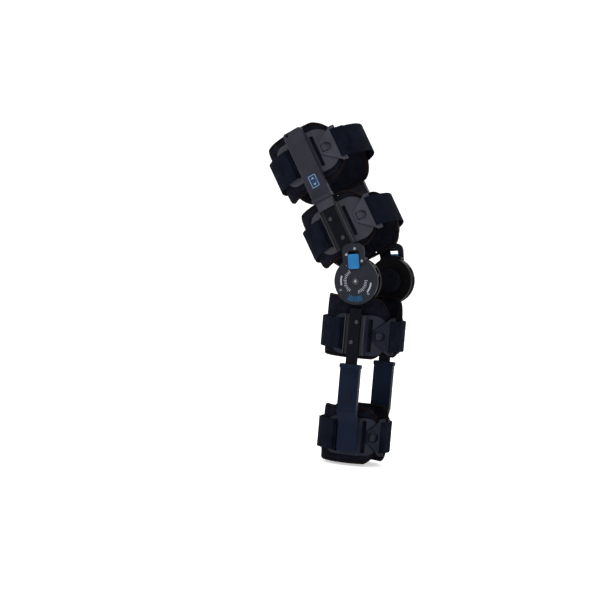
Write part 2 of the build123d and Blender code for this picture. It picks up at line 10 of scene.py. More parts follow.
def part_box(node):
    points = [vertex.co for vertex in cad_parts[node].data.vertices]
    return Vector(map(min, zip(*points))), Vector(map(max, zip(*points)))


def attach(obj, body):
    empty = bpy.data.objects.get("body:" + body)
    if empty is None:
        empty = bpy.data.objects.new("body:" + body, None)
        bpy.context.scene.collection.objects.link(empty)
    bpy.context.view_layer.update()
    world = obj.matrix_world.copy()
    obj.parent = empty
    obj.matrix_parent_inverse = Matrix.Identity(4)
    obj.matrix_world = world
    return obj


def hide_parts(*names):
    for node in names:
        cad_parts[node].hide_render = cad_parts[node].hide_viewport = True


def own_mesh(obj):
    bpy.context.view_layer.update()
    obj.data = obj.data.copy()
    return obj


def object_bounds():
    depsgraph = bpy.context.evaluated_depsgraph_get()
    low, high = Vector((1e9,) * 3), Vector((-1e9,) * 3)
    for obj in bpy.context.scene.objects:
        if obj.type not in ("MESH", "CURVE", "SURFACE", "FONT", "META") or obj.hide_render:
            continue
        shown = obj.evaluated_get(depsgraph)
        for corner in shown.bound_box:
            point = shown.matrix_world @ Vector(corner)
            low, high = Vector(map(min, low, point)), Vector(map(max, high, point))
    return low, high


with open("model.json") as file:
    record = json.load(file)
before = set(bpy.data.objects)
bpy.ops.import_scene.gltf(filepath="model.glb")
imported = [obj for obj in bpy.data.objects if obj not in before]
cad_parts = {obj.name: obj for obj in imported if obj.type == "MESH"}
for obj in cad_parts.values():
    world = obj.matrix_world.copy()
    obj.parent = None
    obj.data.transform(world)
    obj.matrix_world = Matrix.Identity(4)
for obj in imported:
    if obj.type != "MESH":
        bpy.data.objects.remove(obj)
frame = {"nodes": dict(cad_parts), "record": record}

cad_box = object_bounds()
scene = bpy.context.scene

# ---- the brace's own layout, in millimetres and degrees, as in the CAD source ----
MM = 0.001
LEAN = radians(32)
LIMBS = {
    "thigh": (Vector((cos(LEAN), 0, sin(LEAN))), Vector((-sin(LEAN), 0, cos(LEAN)))),
    "calf": (Vector((1, 0, 0)), Vector((0, 0, 1))),
}
SIDES = (("lateral", 1), ("medial", -1))
WALL = 3.5
PAD_GAP = 0.2
PAD_THICKNESS = 8.0
PAD_CLEARANCE = 0.3          # left free between the pad and the pad's space in the CAD
STRAP_WIDTH = 50.0
STRAP_THICKNESS = 1.8
SLOT_MIDDLE = 21.85
DIAL_TOP = 84.0
BUCKLE_LIFT = 1.9            # the buckle's pin stands this far off the shell's outer face
PIN_RADIUS = 2.0
WINDOW_REACH = 7.2           # the strap's loop reaches this far into the buckle's window


class Level:
    """One cuff, as the CAD source lays it out."""

    def __init__(self, name, limb, body, bar_x, centre_x, inset, radius, shell, pad, pad_angles, pad_corners,
                 edge, joint=None):
        self.name = name
        self.limb = limb
        self.body = body
        self.bar_x = bar_x
        self.centre_x = centre_x
        self.inset = inset
        self.radius = radius
        self.middle = (shell[0] + shell[1]) / 2
        self.pad = pad
        self.pad_angles = pad_angles
        self.pad_corners = pad_corners
        self.edge = edge
        self.joint = joint

    def angle(self, from_bar):
        return asin((self.bar_x - self.centre_x) / self.radius) + from_bar / self.radius

    def section(self, angle, radius, inset=0.0):
        """(forward, across) of a point on the cuff's circle, seen along the limb; across is outwards."""
        return self.centre_x + radius * sin(angle), radius * cos(angle) - inset

    def point(self, angle, radius, height, side=1, inset=None):
        x, out = self.section(angle, radius, self.inset if inset is None else inset)
        return at(self.limb, x, out, height, side)


def at(limb, x, out, height, side=1):
    """A point given along the limb's forward direction, outwards and up the limb, in the row frame."""
    forward, up = LIMBS[limb]
    return (forward * x + up * height + Vector((0, -out * side, 0))) * MM


LEVELS = [
    Level("upper_thigh", "thigh", "thigh_top", 9, 5, 3, 82.5, (188, 260), (172, 275), (-80, 52), (46, 50),
          64),
    Level("lower_thigh", "thigh", "thigh", 9, 5, 0, 78.5, (59, 133), (48.5, 149), (-78, 55), (46, 50),
          68, "knee_flexion"),
    Level("upper_calf", "calf", "calf", 0, -12, 0, 66.5, (-122, -55), (-128, -26), (-80, 66), (24, 42),
          66, "knee_flexion"),
    Level("lower_calf", "calf", "calf_bottom", 0, -12, 0, 58, (-288, -226), (-303, -209), (-82, 72),
          (34, 40), 62),
]


# ---- materials ----
class Nodes:
    """Small helper round a material's node tree."""

    def __init__(self, name):
        self.material = bpy.data.materials.new(name)
        self.material.use_nodes = True
        self.tree = self.material.node_tree
        self.shader = self.tree.nodes["Principled BSDF"]

    def add(self, kind, links=None, **values):
        node = self.tree.nodes.new(kind)
        for key, value in values.items():
            if key in node.inputs:
                node.inputs[key].default_value = value
            else:
                setattr(node, key, value)
        for key, source in (links or {}).items():
            self.tree.links.new(source, node.inputs[key])
        return node

    def link(self, source, socket):
        self.tree.links.new(source, self.shader.inputs[socket])

    def set(self, **values):
        for key, value in values.items():
            self.shader.inputs[key.replace("_", " ")].default_value = value

    def ramp(self, source, low, high, start, end):
        node = self.add("ShaderNodeValToRGB", {"Fac": source})
        node.color_ramp.elements[0].position = start
        node.color_ramp.elements[1].position = end
        node.color_ramp.elements[0].color = (*low, 1)
        node.color_ramp.elements[1].color = (*high, 1)
        return node.outputs["Color"]

    def span(self, source, low, high):
        node = self.add("ShaderNodeMapRange", {"Value": source})
        node.inputs["To Min"].default_value = low
        node.inputs["To Max"].default_value = high
        return node.outputs["Result"]

    def bump(self, height, strength, distance, normal=None):
        links = {"Height": height}
        if normal:
            links["Normal"] = normal
        node = self.add("ShaderNodeBump", links, Strength=strength, Distance=distance)
        return node.outputs["Normal"]


def shade(colour, factor):
    return tuple(min(1.0, channel * factor) for channel in colour)


def moulded(name, colour, roughness=0.45, grain=900.0, depth=0.00012, scuff=1.5, metallic=0.0, coat=0.0,
            gloss=0.22):
    """Moulded plastic or painted metal: cloudy tone, fine grain, faint scuffs."""
    n = Nodes(name)
    coords = n.add("ShaderNodeTexCoord").outputs["Object"]
    cloud = n.add("ShaderNodeTexNoise", {"Vector": coords}, Scale=38.0, Detail=4.0).outputs["Fac"]
    fine = n.add("ShaderNodeTexNoise", {"Vector": coords}, Scale=grain, Detail=2.0).outputs["Fac"]
    stretched = n.add("ShaderNodeMapping", {"Vector": coords})
    stretched.inputs["Scale"].default_value = (160.0, 160.0, 900.0)
    scratch = n.add("ShaderNodeTexNoise", {"Vector": stretched.outputs["Vector"]}, Scale=1.0,
                    Detail=3.0).outputs["Fac"]
    base = n.ramp(cloud, shade(colour, 0.82), shade(colour, 1.18), 0.3, 0.7)
    marks = n.ramp(scratch, (0, 0, 0), (1, 1, 1), 0.66, 0.74)
    mix = n.add("ShaderNodeMix", {"Factor": n.span(marks, 0.0, 0.35)}, data_type="RGBA")
    n.tree.links.new(base, mix.inputs["A"])
    mix.inputs["B"].default_value = (*shade(colour, scuff), 1)
    n.link(mix.outputs["Result"], "Base Color")
    n.link(n.span(cloud, roughness - 0.07, roughness + 0.09), "Roughness")
    n.link(n.bump(fine, 0.5, depth), "Normal")
    n.set(Metallic=metallic, Coat_Weight=coat, Coat_Roughness=0.15, Specular_IOR_Level=gloss)
    return n.material


def brushed_steel(name, colour=(0.62, 0.63, 0.65)):
    n = Nodes(name)
    coords = n.add("ShaderNodeTexCoord").outputs["Object"]
    stretched = n.add("ShaderNodeMapping", {"Vector": coords})
    stretched.inputs["Scale"].default_value = (2200.0, 300.0, 300.0)
    lines = n.add("ShaderNodeTexNoise", {"Vector": stretched.outputs["Vector"]}, Scale=1.0,
                  Detail=3.0).outputs["Fac"]
    n.link(n.ramp(lines, shade(colour, 0.8), shade(colour, 1.1), 0.3, 0.7), "Base Color")
    n.link(n.span(lines, 0.2, 0.4), "Roughness")
    n.link(n.bump(lines, 0.3, 0.00004), "Normal")
    n.set(Metallic=1.0)
    return n.material


def knitted(name, colour, loop=1500.0, sheen=0.002):
    """Brushed loop fabric of the pads: fine loops with soft patches of raised and flattened pile."""
    n = Nodes(name)
    coords = n.add("ShaderNodeTexCoord").outputs["Object"]
    loops = n.add("ShaderNodeTexVoronoi", {"Vector": coords}, Scale=loop).outputs["Distance"]
    pile = n.add("ShaderNodeTexNoise", {"Vector": coords}, Scale=70.0, Detail=6.0,
                 Roughness=0.65).outputs["Fac"]
    n.link(n.ramp(pile, shade(colour, 0.6), shade(colour, 1.6), 0.3, 0.72), "Base Color")
    low = n.bump(pile, 0.5, 0.0008)
    n.link(n.bump(loops, 0.8, 0.0005, low), "Normal")
    n.set(Roughness=0.95, Sheen_Weight=sheen, Sheen_Roughness=0.45, Specular_IOR_Level=0.015)
    n.shader.inputs["Sheen Tint"].default_value = (0.3, 0.34, 0.46, 1)
    return n.material


def woven(name, colour, rib=0.0012, sheen=0.002):
    """Webbing: ribs across the strap's length, crossed by finer threads, laid out on the strap's own UVs."""
    n = Nodes(name)
    uv = n.add("ShaderNodeTexCoord").outputs["UV"]
    objects = n.add("ShaderNodeTexCoord").outputs["Object"]
    across = n.add("ShaderNodeTexWave", {"Vector": uv}, bands_direction="X", Scale=pi / 10 / rib,
                   Distortion=0.6, Detail=1.0).outputs["Fac"]
    along = n.add("ShaderNodeTexWave", {"Vector": uv}, bands_direction="Y", Scale=pi / 10 / (rib * 0.8),
                  Distortion=0.6, Detail=1.0).outputs["Fac"]
    product = n.add("ShaderNodeMath", operation="MULTIPLY")
    n.tree.links.new(across, product.inputs[0])
    n.tree.links.new(along, product.inputs[1])
    wear = n.add("ShaderNodeTexNoise", {"Vector": objects}, Scale=55.0, Detail=5.0).outputs["Fac"]
    n.link(n.ramp(wear, shade(colour, 0.7), shade(colour, 1.5), 0.3, 0.72), "Base Color")
    n.link(n.bump(product.outputs["Value"], 0.7, 0.0004), "Normal")
    n.set(Roughness=0.9, Sheen_Weight=sheen, Sheen_Roughness=0.4, Specular_IOR_Level=0.02)
    n.shader.inputs["Sheen Tint"].default_value = (0.3, 0.34, 0.46, 1)
    return n.material


def printed(name, colour):
    """Thin screen print with slightly worn ink."""
    n = Nodes(name)
    coords = n.add("ShaderNodeTexCoord").outputs["Object"]
    speck = n.add("ShaderNodeTexNoise", {"Vector": coords}, Scale=1400.0, Detail=3.0).outputs["Fac"]
    n.link(n.ramp(speck, shade(colour, 0.55), colour, 0.3, 0.45), "Base Color")
    n.link(n.span(speck, 0.4, 0.6), "Roughness")
    n.link(n.bump(speck, 0.2, 0.00003), "Normal")
    n.set(Specular_IOR_Level=0.1)
    return n.material


MATERIALS = {
    "arm_metal": moulded("arm_metal", (0.0022, 0.0028, 0.0052), 0.42, 1400, 0.00006, 1.8, gloss=0.045),
    "dial_plastic": moulded("dial_plastic", (0.0075, 0.0085, 0.0145), 0.42, gloss=0.15),
    "shell_plastic": moulded("shell_plastic", (0.023, 0.0225, 0.032), 0.5, gloss=0.15),
    "calf_plastic": moulded("calf_plastic", (0.0028, 0.0062, 0.0165), 0.46, gloss=0.06),
    "buckle_plastic": moulded("buckle_plastic", (0.029, 0.029, 0.041), 0.48, gloss=0.15),
    "blue_plastic": moulded("blue_plastic", (0.006, 0.12, 0.3), 0.32, 900, 0.00006, 1.3, coat=0.1),
    "dark_button": moulded("dark_button", (0.0034, 0.006, 0.0135), 0.42, gloss=0.06),
    "stop_plastic": moulded("stop_plastic", (0.03, 0.029, 0.036), 0.42),
    "rivet_steel": brushed_steel("rivet_steel"),
    "bush_plastic": moulded("bush_plastic", (0.5, 0.48, 0.42), 0.5),
    "spring_steel": brushed_steel("spring_steel", (0.5, 0.5, 0.52)),
    "pad_fabric": knitted("pad_fabric", (0.0048, 0.0052, 0.0088)),
    "strap_webbing": woven("strap_webbing", (0.0036, 0.0048, 0.0095)),
}
CALF_SHELL = moulded("calf_shell", (0.0072, 0.0095, 0.0175), 0.5, gloss=0.12)
CALF_BUCKLE = moulded("calf_buckle", (0.0045, 0.0065, 0.0135), 0.48, gloss=0.08)
SLEEVE_PLASTIC = moulded("sleeve_plastic", (0.0155, 0.0155, 0.0235), 0.5, gloss=0.12)
COVER_BACK = moulded("cover_back", (0.003, 0.0025, 0.003), 0.5, gloss=0.05)
BUTTON_BLUE = moulded("button_blue", (0.0045, 0.03, 0.08), 0.38, gloss=0.15)
DARK_STEEL = brushed_steel("dark_steel", (0.05, 0.05, 0.056))
SCREW_STEEL = brushed_steel("screw_steel", (0.3, 0.3, 0.32))
# lighter plastic for the strips on the channel walls' tops: a painted highlight along the walls' edges, with
# faint scuffs
RAIL_PAINTED_HIGHLIGHT = moulded("rail_edge", (0.034, 0.034, 0.04), 0.42, scuff=2.0, gloss=0.1)
CHANNEL = moulded("channel_rubber", (0.004, 0.004, 0.006), 0.6)
BINDING = knitted("binding_tape", (0.007, 0.0048, 0.0056), 2200.0, 0.004)
THREAD = knitted("stitch_thread", (0.02, 0.02, 0.027), 2600.0, 0.01)
WHITE_INK = printed("white_ink", (0.26, 0.28, 0.31))
BLUE_INK = printed("blue_ink", (0.008, 0.045, 0.095))

# nodes whose look differs from the rest of their slot, by the end of their name
SPECIAL = (("_rivets", DARK_STEEL), ("_pivot_rivet", DARK_STEEL), ("neck_screws", SCREW_STEEL),
           ("_calf_buckle", CALF_BUCKLE), ("_calf_shell", CALF_SHELL), ("_thigh_sleeve", SLEEVE_PLASTIC),
           ("_back_cover", COVER_BACK), ("_neck_cover", MATERIALS["dial_plastic"]),
           ("_thigh_button", BUTTON_BLUE))
for name, obj in frame["nodes"].items():
    wanted = next(row["material_slot"] for row in frame["record"]["subparts"] if row["node"] == name)
    if not obj.material_slots:
        obj.data.materials.append(None)
    material = MATERIALS[wanted]
    for ending, special in SPECIAL:
        if name.endswith(ending):
            material = special
    for material_slot in obj.material_slots:
        material_slot.material = material


# ---- making pieces ----
def piece(name, points, faces, material, uvs=None):
    mesh = bpy.data.meshes.new(name)
    mesh.from_pydata([tuple(p) for p in points], [], faces)
    mesh.materials.append(material)
    if uvs:
        layer = mesh.uv_layers.new(name="UVMap")
        for loop in mesh.loops:
            layer.data[loop.index].uv = uvs[loop.vertex_index]
    obj = bpy.data.objects.new(name, mesh)
    scene.collection.objects.link(obj)
    tidy = bmesh.new()
    tidy.from_mesh(mesh)
    bmesh.ops.recalc_face_normals(tidy, faces=tidy.faces)
    tidy.to_mesh(mesh)
    tidy.free()
    mesh.shade_smooth()
    return obj


def place(obj, body):
    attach(obj, body)
    return obj


def swept(rings, closed=False):
    """Faces between equal rings of points, capped at the ends unless closed."""
    count, size = len(rings), len(rings[0])
    points = [p for ring in rings for p in ring]
    faces = []
    for i in range(count if closed else count - 1):
        for j in range(size):
            a, b = i * size + j, i * size + (j + 1) % size
            c, d = ((i + 1) % count) * size + (j + 1) % size, ((i + 1) % count) * size + j
            faces.append((a, b, c, d))
    if not closed:
        faces.append(tuple(range(size))[::-1])
        faces.append(tuple(range((count - 1) * size, count * size)))
    return points, faces


# ---- pads ----
def reach_at(level, height, outer):
    """Where the pad starts and ends round the limb at a height, as arc lengths, with its corners rounded."""
    low, high = level.pad
    edge = min(height - low, high - height)
    ends = []
    for angle, corner, way in ((level.pad_angles[0], level.pad_corners[0], 1),
                               (level.pad_angles[1], level.pad_corners[1], -1)):
        missing = max(0.0, corner - edge)
        cut = corner - sqrt(max(0.0, corner * corner - missing * missing))
        ends.append(radians(angle) * outer + way * cut)
    return ends


def pad_mesh(level, thickness):
    """Closed cushion, thin at its rim and full in the middle, wrapped round the limb on its outer side."""
    outer = level.radius - WALL - PAD_GAP - PAD_CLEARANCE
    middle = outer - PAD_THICKNESS / 2
    low, high = level.pad
    rim, inset = 5.0, 2.2
    columns, rows = 54, 34
    points, index = [], {}
    for layer in (1, -1):
        for j in range(rows + 1):
            height = low + inset + (high - low - 2 * inset) * (1 - cos(pi * j / rows)) / 2
            start, end = reach_at(level, height, outer)
            start, end = start + inset, end - inset
            for i in range(columns + 1):
                along = start + (end - start) * (1 - cos(pi * i / columns)) / 2
                edge = min(height - low - inset, high - inset - height, along - start, end - along)
                fullness = min(1.0, max(0.0, edge) / rim)
                half = thickness / 2 * sqrt(1 - (1 - fullness) ** 2)
                index[layer, i, j] = len(points)
                points.append(level.point(along / outer, middle + layer * half, height))
    faces = []
    for layer in (1, -1):
        for j in range(rows):
            for i in range(columns):
                faces.append((index[layer, i, j], index[layer, i + 1, j],
                              index[layer, i + 1, j + 1], index[layer, i, j + 1]))
    return points, faces


def weld(obj, distance=0.00002):
    mesh = bmesh.new()
    mesh.from_mesh(obj.data)
    bmesh.ops.remove_doubles(mesh, verts=mesh.verts, dist=distance)
    bmesh.ops.dissolve_degenerate(mesh, edges=mesh.edges, dist=distance / 4)
    bmesh.ops.recalc_face_normals(mesh, faces=mesh.faces)
    mesh.to_mesh(obj.data)
    mesh.free()


def coordinates(mesh):
    flat = np.empty(len(mesh.vertices) * 3, dtype=np.float32)
    mesh.vertices.foreach_get("co", flat)
    return flat.reshape(-1, 3).astype(float)


def set_coordinates(mesh, co):
    mesh.vertices.foreach_set("co", co.astype(np.float32).ravel())
    mesh.update()


def remeshed(obj, voxel):
    modifier = obj.modifiers.new("Remesh", "REMESH")
    modifier.mode = "VOXEL"
    modifier.voxel_size = voxel
    graph = bpy.context.evaluated_depsgraph_get()
    mesh = bpy.data.meshes.new_from_object(obj.evaluated_get(graph))
    obj.modifiers.clear()
    material = obj.data.materials[0]
    obj.data = mesh
    if not mesh.materials:
        mesh.materials.append(material)


CLOTH_PRESSURE = 4.0
CLOTH_FRAMES = 20


def inflate(obj, cap, limit):
    """Blow the piece up with cloth. No point moves further than cap, and limit keeps it in its space."""
    start = coordinates(obj.data)
    modifier = obj.modifiers.new("Cloth", "CLOTH")
    settings = modifier.settings
    settings.use_pressure = True
    settings.uniform_pressure_force = CLOTH_PRESSURE
    settings.effector_weights.gravity = 0.0
    modifier.point_cache.frame_start = 1
    modifier.point_cache.frame_end = CLOTH_FRAMES
    for number in range(1, CLOTH_FRAMES + 1):
        scene.frame_set(number)
    graph = bpy.context.evaluated_depsgraph_get()
    moved = coordinates(obj.evaluated_get(graph).data)
    obj.modifiers.clear()
    scene.frame_set(1)
    step = moved - start
    length = np.linalg.norm(step, axis=1, keepdims=True)
    step *= np.minimum(1.0, cap / np.maximum(length, 1e-9))
    set_coordinates(obj.data, limit(start + step))


def pad_limit(level):
    """Keeps points of a pad between its shell and the leg's side of its CAD solid."""
    forward, up = LIMBS[level.limb]
    outer = (level.radius - WALL - PAD_GAP) * MM

    def limit(co):
        x = co @ np.array(forward) - level.centre_x * MM
        y = co[:, 1] - level.inset * MM
        radius = np.hypot(x, y)
        wanted = np.clip(radius, outer - (PAD_THICKNESS + 2.0) * MM, outer)
        factor = (wanted / radius)[:, None]
        across = np.array(forward)[None, :] * x[:, None]
        across[:, 1] += y
        return co + across * (factor - 1)
    return limit


def crease(obj, amount=0.35):
    """Small soft unevenness, as of foam under stretched cloth."""
    for vertex in obj.data.vertices:
        value = noise.noise(vertex.co * 45.0) * 0.6 + noise.noise(vertex.co * 120.0) * 0.4
        vertex.co += vertex.normal * (value * amount * MM)


def mirrored(obj, name):
    copy = obj.copy()
    copy.data = obj.data.copy()
    copy.name = copy.data.name = name
    copy.data.transform(Matrix.Scale(-1, 4, (0, 1, 0)))
    copy.data.flip_normals()
    scene.collection.objects.link(copy)
    return copy


def outline(level, outer, inset, spacing=3.0):
    """Points (arc length, height) once round the pad's edge, moved in by inset."""
    low, high = level.pad
    count = 60
    front, rear = [], []
    for j in range(count + 1):
        height = low + inset + (high - low - 2 * inset) * (1 - cos(pi * j / count)) / 2
        start, end = reach_at(level, height, outer)
        front.append(Vector((end - inset, height)))
        rear.append(Vector((start + inset, height)))
    loop = front + rear[::-1]
    return resampled(loop + [loop[0]], spacing)[:-1]


def resampled(path, spacing):
    """The same path at even steps."""
    lengths = [0.0]
    for a, b in zip(path, path[1:]):
        lengths.append(lengths[-1] + (b - a).length)
    steps = max(2, ceil(lengths[-1] / spacing))
    result, k = [], 0
    for n in range(steps + 1):
        target = lengths[-1] * n / steps
        while k < len(path) - 2 and lengths[k + 1] < target:
            k += 1
        span = lengths[k + 1] - lengths[k]
        result.append(path[k].lerp(path[k + 1], (target - lengths[k]) / span if span > 1e-9 else 0.0))
    return result


def binding(level, side):
    """Tape folded over the pad's edge all the way round."""
    outer = level.radius - WALL - PAD_GAP - PAD_CLEARANCE
    middle = outer - PAD_THICKNESS / 2
    loop = outline(level, outer, 2.6, 3.0)
    rings = []
    for k, here in enumerate(loop):
        ahead, behind = loop[(k + 1) % len(loop)], loop[k - 1]
        flat = (ahead - behind).normalized()
        normal = Vector((flat.y, -flat.x))
        ring = []
        for turn in range(12):
            theta = 2 * pi * turn / 12
            offset = normal * (2.6 * cos(theta))
            radius = middle + (PAD_THICKNESS / 2 - 0.1) * sin(theta)
            ring.append(level.point((here.x + offset.x) / outer, radius, here.y + offset.y, side))
        rings.append(ring)
    return swept(rings, closed=True)


def stitches(level, side, spacing=4.2, length=2.6):
    """A row of short raised stitches beside the binding, on one face of the pad."""
    outer = level.radius - WALL - PAD_GAP
    points, faces = [], []
    loop = outline(level, outer, 6.6, spacing)
    for k, here in enumerate(loop):
        flat = (loop[(k + 1) % len(loop)] - loop[k - 1]).normalized()
        normal = Vector((flat.y, -flat.x))
        base = len(points)
        for end in (-0.5, -0.3, 0.3, 0.5):
            full = 0.32 if abs(end) < 0.4 else 0.12
            centre = here + flat * (end * length)
            for turn in range(6):
                theta = 2 * pi * turn / 6
                spot = centre + normal * (full * cos(theta))
                radius = outer - PAD_THICKNESS - 0.1 + full * sin(theta)
                points.append(level.point(spot.x / outer, radius, spot.y, side))
        for ring in range(3):
            for turn in range(6):
                a, b = base + ring * 6 + turn, base + ring * 6 + (turn + 1) % 6
                faces.append((a, b, b + 6, a + 6))
        faces.append(tuple(base + turn for turn in range(6))[::-1])
        faces.append(tuple(base + 18 + turn for turn in range(6)))
    return points, faces


def cut_at(obj, level, name):
    """Splits a soft piece 12 mm behind the upright into a front and a rear part."""
    forward = LIMBS[level.limb][0]
    plane = at(level.limb, level.bar_x - 12, 0, 0)
    other = obj.copy()
    other.data = obj.data.copy()
    other.name = other.data.name = name
    scene.collection.objects.link(other)
    for half, outer, inner in ((obj, False, True), (other, True, False)):
        mesh = bmesh.new()
        mesh.from_mesh(half.data)
        everything = mesh.verts[:] + mesh.edges[:] + mesh.faces[:]
        cut = bmesh.ops.bisect_plane(mesh, geom=everything, plane_co=plane, plane_no=forward,
                                     clear_outer=outer, clear_inner=inner)
        rim = [item for item in cut["geom_cut"] if isinstance(item, bmesh.types.BMEdge)]
        bmesh.ops.holes_fill(mesh, edges=rim, sides=0)
        bmesh.ops.recalc_face_normals(mesh, faces=mesh.faces)
        mesh.to_mesh(half.data)
        mesh.free()
        half.data.shade_smooth()
    return other


def flatten(obj):
    """Gives the piece its own copy of its mesh."""
    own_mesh(obj)


def finish_soft(obj, level, with_fill=None):
    """Rides the piece on its cuff, and next to the knee splits off its rear part."""
    rear = cut_at(obj, level, f"{obj.name}_rear") if level.joint else None
    parts = [obj] + ([rear] if rear else [])
    for part in parts:
        if with_fill is not None:
            part.modifiers.new("Smooth", "SUBSURF").levels = 1
            part.modifiers["Smooth"].render_levels = 1
        place(part, level.body)
    if rear:
        flatten(rear)


PAD_START = 2.6              # the cushion starts thinner than its space by this, and swells into it
PAD_VOXEL = 0.0034
PAD_SWELL = 0.0026

for level in LEVELS:
    pad = piece(f"lateral_{level.name}_cushion", *pad_mesh(level, PAD_THICKNESS - PAD_START),
                MATERIALS["pad_fabric"])
    weld(pad)
    remeshed(pad, PAD_VOXEL)
    pad.data.shade_smooth()
    inflate(pad, PAD_SWELL, pad_limit(level))
    crease(pad)
    pads = [pad, mirrored(pad, f"medial_{level.name}_cushion")]
    for cushion, (side_name, side) in zip(pads, SIDES):
        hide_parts(f"{side_name}_{level.name}_pad")
        finish_soft(cushion, level, 0.8)
        tape = piece(f"{side_name}_{level.name}_binding", *binding(level, side), BINDING)
        finish_soft(tape, level)
        seam = piece(f"{side_name}_{level.name}_stitching", *stitches(level, side), THREAD)
        finish_soft(seam, level)


# ---- straps ----
def strap_mesh(level, path, width=STRAP_WIDTH, thickness=STRAP_THICKNESS):
    """Flat webbing along a path seen along the limb; its selvedges are a little thicker and rounded."""
    profile = [(-1, 0.35), (-0.97, 0.5), (-0.9, 0.46), (-0.45, 0.44), (0, 0.44), (0.45, 0.44), (0.9, 0.46),
               (0.97, 0.5), (1, 0.35)]
    ring_shape = profile + [(across, -up) for across, up in profile[::-1]]
    path = resampled([Vector(p) for p in path], 3.0)
    rings, uvs, travelled = [], [], 0.0
    for k, here in enumerate(path):
        ahead, behind = path[min(k + 1, len(path) - 1)], path[max(k - 1, 0)]
        flat = (ahead - behind).normalized()
        normal = Vector((-flat.y, flat.x))
        travelled += (here - behind).length
        ring = []
        for across, up in ring_shape:
            spot = here + normal * (up * thickness)
            ring.append(at(level.limb, spot.x, spot.y, level.middle + across * width / 2))
            uvs.append((travelled * MM, across * width / 2 * MM))
        rings.append(ring)
    points, faces = swept(rings)
    return points, faces, uvs


def arc(level, start, end, radius, inset=0.0, end_inset=None):
    """Points round the limb; the shift towards the mid-plane may change on the way."""
    end_inset = inset if end_inset is None else end_inset
    steps = max(2, int(abs(degrees(end - start)) / 3))
    points = []
    for n in range(steps + 1):
        share = n / steps
        points.append(level.section(start + (end - start) * share, radius,
                                    inset + (end_inset - inset) * share))
    return points


def strap(level, name, path):
    points, faces, uvs = strap_mesh(level, path)
    return piece(name, points, faces, MATERIALS["strap_webbing"], uvs)


OFF_SHELL = 0.5              # gap between the shell and the first layer of webbing
BETWEEN_LAYERS = 0.25
INTO_SLOT = 5                # webbing starts to leave its circle this far from a slot
FRONT_FOLD = (16, 7)         # the front strap's folded end lies between these distances past the buckle's bar
FOLD_RISE = 1.6
RUN_START = 8                # the strap is back on its circle this far past the buckle's bar
LOOP_GAP = 0.6               # between the buckle's bar and the webbing round it
REAR_FOLD = (4, 62)          # the rear strap's tab lies between these distances from its slot

for level in LEVELS:
    over = level.radius + OFF_SHELL + STRAP_THICKNESS / 2
    second = over + STRAP_THICKNESS + BETWEEN_LAYERS
    slot_angle = asin((level.bar_x + SLOT_MIDDLE - level.centre_x) / level.radius)
    rear_angle = asin((level.bar_x - SLOT_MIDDLE - level.centre_x) / level.radius)
    pin_angle = level.angle(level.edge)
    pin_at = level.section(pin_angle, level.radius + BUCKLE_LIFT, level.inset)
    loop_radius = PIN_RADIUS + STRAP_THICKNESS / 2 + LOOP_GAP
    # through the buckle's window and round its bar, from the folded end on top to the layer that runs on
    along, out = Vector((cos(pin_angle), -sin(pin_angle))), Vector((sin(pin_angle), cos(pin_angle)))
    turn_points = []
    for n in range(13):
        theta = pi / 2 + pi * n / 12
        turn_points.append(Vector(pin_at) + along * (WINDOW_REACH * cos(theta))
                           + out * (loop_radius * sin(theta)))
    fold_start, fold_end = (pin_angle + distance / level.radius for distance in FRONT_FOLD)
    into_slot = INTO_SLOT / level.radius
    front_path = (arc(level, fold_start, fold_end, second + FOLD_RISE, level.inset * 0.5, level.inset)
                  + turn_points
                  + arc(level, pin_angle + RUN_START / level.radius, pi - slot_angle - into_slot, over,
                        level.inset, 0)
                  + [level.section(pi - slot_angle, level.radius - 1.0)])
    front = strap(level, f"{level.name}_front_webbing", front_path)
    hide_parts(f"{level.name}_strap")
    place(front, level.body)
    rear_path = ([level.section(rear_angle, level.radius - 1.0)]
                 + arc(level, rear_angle - into_slot, -pi - rear_angle + into_slot, over)
                 + [level.section(-pi - rear_angle, level.radius - 1.0)])
    rear = strap(level, f"{level.name}_rear_webbing", rear_path)
    place(rear, level.body)
    tab = strap(level, f"{level.name}_rear_fold",
                arc(level, rear_angle - REAR_FOLD[0] / level.radius, rear_angle - REAR_FOLD[1] / level.radius,
                    second))
    place(tab, level.body)
    if level.joint:
        for soft in (rear, tab):
            flatten(soft)


# ---- condyle pads ----
def condyle(side):
    box_low, box_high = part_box(f"{'lateral' if side > 0 else 'medial'}_condyle_pad")
    centre = (Vector(box_low) + Vector(box_high)) / 2
    radius = (box_high[0] - box_low[0]) / 2 - 0.0012
    half = (box_high[1] - box_low[1]) / 2 - 0.001
    rings = []
    for n in range(1, 24):
        theta = pi * n / 24
        shape = abs(cos(theta)) ** 0.55 * (1 if cos(theta) > 0 else -1)
        across = sin(theta) ** 0.5 * radius
        rings.append([centre + Vector((across * cos(2 * pi * k / 40), half * shape,
                                       across * sin(2 * pi * k / 40))) for k in range(40)])
    return swept(rings)


CONDYLE_VOXEL = 0.003
CONDYLE_SWELL = 0.0008

for side_name, side in SIDES:
    cushion = piece(f"{side_name}_condyle_cushion", *condyle(side), MATERIALS["pad_fabric"])
    remeshed(cushion, CONDYLE_VOXEL)
    cushion.data.shade_smooth()
    inflate(cushion, CONDYLE_SWELL, lambda co: co)
    cushion.modifiers.new("Smooth", "SUBSURF").levels = 1
    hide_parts(f"{side_name}_condyle_pad")
    place(cushion, "calf")


